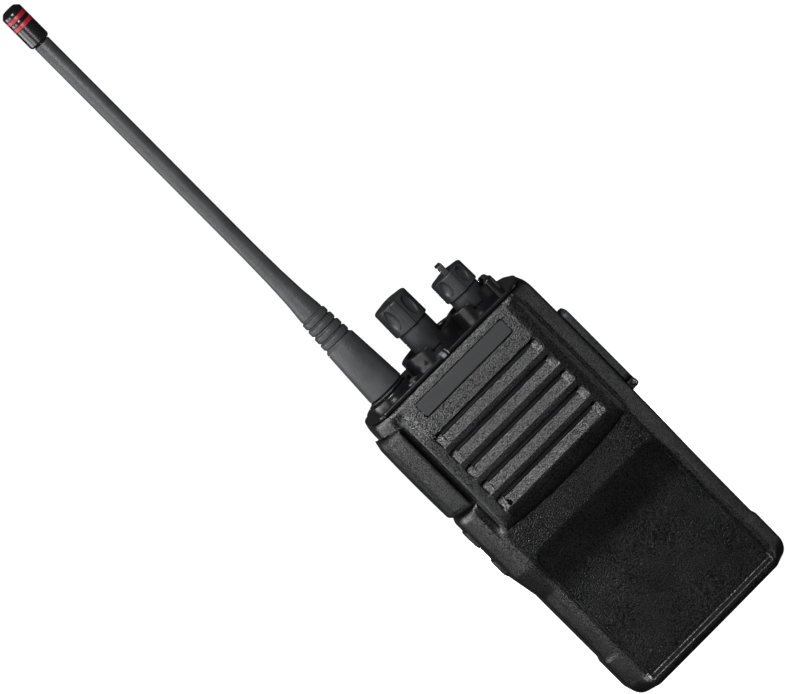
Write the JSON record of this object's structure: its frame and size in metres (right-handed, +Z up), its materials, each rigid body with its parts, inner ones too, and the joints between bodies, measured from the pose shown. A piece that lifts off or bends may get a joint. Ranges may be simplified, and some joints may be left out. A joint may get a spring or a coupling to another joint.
{
  "type": "two way radio",
  "caption": "Hand-held two way radio with louvred speaker panel, top knobs, whip antenna, side talk button, rear battery pack and belt clip.",
  "frame": {"origin": "on the standing surface, under the middle of the whole object including its belt clip", "axes": "+Z up along the antenna; the speaker front faces -Y; +X to the right seen from the front, the side with the accessory cover; the talk button is at -X"},
  "size_m": [0.0633, 0.0444, 0.2551],
  "materials": {
    "housing_black": "fine-grain textured black polycarbonate",
    "trim_black": "smooth semi-gloss black",
    "knob_grey": "matte charcoal",
    "antenna_rubber": "matte moulded elastomer",
    "tip_red": "red ring",
    "key_rubber": "textured black rubber",
    "badge_grey": "blank satin plate",
    "die_cast": "black painted die-cast metal",
    "steel": "plated",
    "gold": "gold plated",
    "board_green": "solder-masked laminate",
    "felt": "black felt and paper",
    "inner_plastic": "moulded black",
    "lens": "clear smoke light pipe",
    "cell_wrap": "blue shrink wrap"
  },
  "bodies": {
    "housing": {"front_housing": "housing_black", "badge_plate": "badge_grey", "top_panel": "trim_black", "led_lens": "lens", "volume_potentiometer": "inner_plastic", "volume_nut": "steel", "channel_switch": "inner_plastic", "channel_nut": "steel", "antenna_connector": "gold", "ptt_switch": "inner_plastic", "side_switch_upper": "inner_plastic", "side_switch_lower": "inner_plastic", "jack_block": "inner_plastic", "jack_cover_pin": "steel", "speaker_felt": "felt", "speaker_basket": "steel", "speaker_cone": "felt", "speaker_magnet": "steel", "microphone": "steel", "mic_boot": "key_rubber", "main_board": "board_green", "shield_can_front": "steel", "shield_can_rear": "steel", "terminal_block": "inner_plastic", "chassis": "die_cast", "chassis_seal": "key_rubber", "chassis_screw_lower_1": "steel", "chassis_screw_lower_3": "steel", "chassis_screw_upper_1": "steel", "chassis_screw_upper_3": "steel"},
    "volume_control": {"volume_knob": "knob_grey", "volume_shaft": "steel"},
    "channel_control": {"channel_knob": "knob_grey", "channel_shaft": "steel"},
    "antenna_lift": {"antenna_seal": "key_rubber"},
    "antenna": {"antenna_sleeve": "antenna_rubber", "antenna_ferrule": "gold", "antenna_core": "steel", "antenna_cap": "trim_black", "tip_band_lower": "tip_red", "tip_band_upper": "tip_red"},
    "talk_button": {"ptt_button": "key_rubber"},
    "upper_key": {"side_key_upper": "key_rubber"},
    "lower_key": {"side_key_lower": "key_rubber"},
    "accessory_cover": {"jack_cover": "key_rubber"},
    "battery_pack": {"battery_case": "housing_black", "battery_lid": "housing_black", "battery_cell_1": "cell_wrap", "battery_cell_2": "cell_wrap", "battery_board": "board_green", "latch_spring": "steel", "clip_bracket": "trim_black", "clip_screw_low": "steel", "clip_screw_middle": "steel", "clip_pin": "steel", "clip_spring": "steel"},
    "pack_latch": {"battery_latch": "trim_black"},
    "clip": {"clip_lever": "trim_black"}
  },
  "joints": [
    {"name": "volume_turn", "type": "hinge", "parent": "housing", "child": "volume_control", "pos_m": [-0.00085, -0.004, 0.1064], "axis": [0, 0, 1], "range_deg": [-300, 0]},
    {"name": "channel_turn", "type": "hinge", "parent": "housing", "child": "channel_control", "pos_m": [0.0154, -0.004, 0.1064], "axis": [0, 0, 1], "range_deg": [-337.5, 0]},
    {"name": "antenna_rise", "type": "slide", "parent": "housing", "child": "antenna_lift", "axis": [0, 0, 1], "range_m": [0, 0.00282]},
    {"name": "antenna_unscrew", "type": "hinge", "parent": "antenna_lift", "child": "antenna", "pos_m": [-0.0182, -0.004, 0.1064], "axis": [0, 0, 1], "range_deg": [0, 1440]},
    {"name": "talk_press", "type": "slide", "parent": "housing", "child": "talk_button", "axis": [1, 0, 0], "range_m": [0, 0.0009], "stiffness_N_per_m": 1500, "springref_m": -0.0005},
    {"name": "upper_key_press", "type": "slide", "parent": "housing", "child": "upper_key", "axis": [1, 0, 0], "range_m": [0, 0.0006], "stiffness_N_per_m": 1500, "springref_m": -0.0004},
    {"name": "lower_key_press", "type": "slide", "parent": "housing", "child": "lower_key", "axis": [1, 0, 0], "range_m": [0, 0.0006], "stiffness_N_per_m": 1500, "springref_m": -0.0004},
    {"name": "accessory_cover_open", "type": "hinge", "parent": "housing", "child": "accessory_cover", "pos_m": [0.0306, -0.007, 0.0626], "axis": [0, 1, 0], "range_deg": [0, 105]},
    {"name": "battery_pull", "type": "slide", "parent": "housing", "child": "battery_pack", "axis": [0, 1, 0], "range_m": [0, 0.012]},
    {"name": "battery_latch_slide", "type": "slide", "parent": "battery_pack", "child": "pack_latch", "axis": [0, 1, 0], "range_m": [0, 0.0024], "stiffness_N_per_m": 800, "springref_m": -0.001, "deforming": ["latch_spring"]},
    {"name": "clip_squeeze", "type": "hinge", "parent": "battery_pack", "child": "clip", "pos_m": [0, 0.018, 0.076], "axis": [1, 0, 0], "range_deg": [0, 12], "stiffness_Nm_per_rad": 1.5, "springref_deg": -8.59, "deforming": ["clip_spring"]}
  ],
  "couplings": [
    {"joint": "antenna_unscrew", "follows": "antenna_rise", "rad_per_m": 8904.7}
  ]
}
